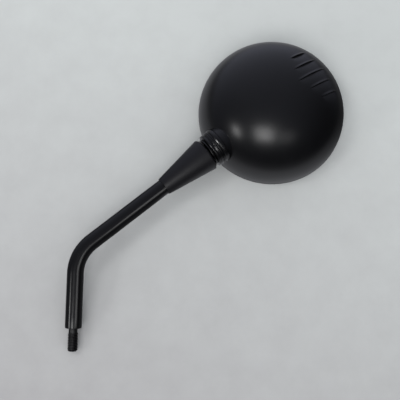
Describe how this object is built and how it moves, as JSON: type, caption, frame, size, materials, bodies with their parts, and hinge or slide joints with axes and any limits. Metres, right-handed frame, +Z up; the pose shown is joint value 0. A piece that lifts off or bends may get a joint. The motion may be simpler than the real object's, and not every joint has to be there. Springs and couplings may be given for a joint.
{
  "type": "motorcycle mirror",
  "caption": "Round rear-view mirror: domed housing with gill steps and a ringed neck, convex glass, sprung ball joint and a bent steel stem ending in a threaded stud.",
  "frame": {"origin": "centre of the shoulder plane where the stem's threaded stud starts", "axes": "-Z along the stud out of the stem, +Z up the lower bar, the bent arm leans toward +X in the XZ plane, the dome faces about -Y and the glass about +Y"},
  "size_m": [0.2257, 0.074, 0.2587],
  "materials": {
    "painted_rod": "satin black paint on steel",
    "sleeve_rubber": "matt black moulded sleeve",
    "polished_ball": "polished dark steel ball",
    "zinc_steel": "zinc plated steel",
    "spring_steel": "dark spring steel",
    "nylon": "natural moulded nylon",
    "shell_plastic": "satin black moulded plastic",
    "carrier_plastic": "plain black moulded plastic",
    "foam": "closed-cell foam",
    "silvered_glass": "silvered convex glass",
    "bezel_plastic": "satin black moulded plastic"
  },
  "bodies": {
    "stem": {"stem_rod": "painted_rod", "stem_cone": "sleeve_rubber", "ball_stud": "polished_ball", "ball_lock_nut": "zinc_steel", "lock_washer": "spring_steel"},
    "liner": {"ball_liner": "nylon"},
    "seat": {"ball_cup": "nylon", "joint_spring": "spring_steel", "spring_washer": "zinc_steel"},
    "head": {"housing_shell": "shell_plastic", "clamp_bridge": "zinc_steel", "clamp_screw_left": "zinc_steel", "clamp_screw_right": "zinc_steel", "glass_carrier": "carrier_plastic", "carrier_screw_1": "zinc_steel", "carrier_screw_2": "zinc_steel", "carrier_screw_3": "zinc_steel", "foam_pad": "foam", "mirror_glass": "silvered_glass", "glass_bezel": "bezel_plastic"}
  },
  "joints": [
    {"name": "ball_tilt", "type": "hinge", "parent": "stem", "child": "liner", "pos_m": [0.10772, 0, 0.14681], "axis": [-0.5874, 0.2923, 0.7547], "range_deg": [-10, 10]},
    {"name": "ball_swing", "type": "hinge", "parent": "liner", "child": "seat", "pos_m": [0.10772, 0, 0.14681], "axis": [-0.1864, -0.9563, 0.2253], "range_deg": [-8.37, 11.63]},
    {"name": "neck_turn", "type": "hinge", "parent": "seat", "child": "head", "pos_m": [0.10772, 0, 0.14681], "axis": [0.7875, -0.0083, 0.6162], "continuous": true}
  ]
}
